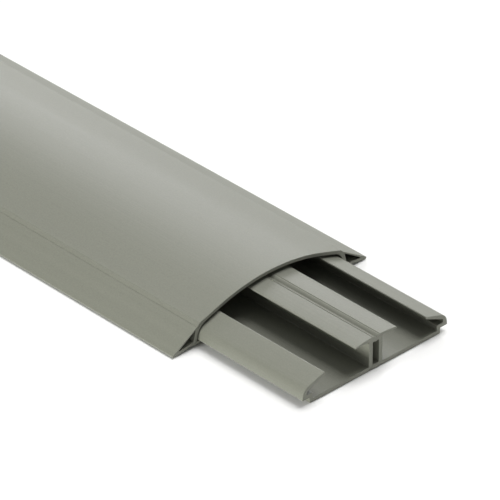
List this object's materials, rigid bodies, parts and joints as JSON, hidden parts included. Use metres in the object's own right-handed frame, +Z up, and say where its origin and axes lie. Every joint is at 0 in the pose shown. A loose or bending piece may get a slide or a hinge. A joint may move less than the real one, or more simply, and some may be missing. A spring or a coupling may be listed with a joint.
{
  "type": "floor cord cover",
  "caption": "Long low floor cord cover: an arched clip-on lid with ramped edges over a flat tray whose divider parts the cable compartments.",
  "frame": {"origin": "middle of the tray's underside, on the floor, halfway along the tray", "axes": "+X along the stock towards the end where the tray is left uncovered, +Y across it, +Z up from the floor"},
  "size_m": [2.051, 0.092, 0.0158],
  "materials": {
    "tray_pvc": "as-extruded matte stone grey",
    "cover_pvc": "as-extruded matte stone grey"
  },
  "bodies": {
    "tray": {"base_tray": "tray_pvc"},
    "cover": {"cover": "cover_pvc"}
  },
  "joints": [
    {"name": "cover_slide", "type": "slide", "parent": "tray", "child": "cover", "axis": [1, 0, 0], "range_m": [-1.849, 1.951]}
  ]
}
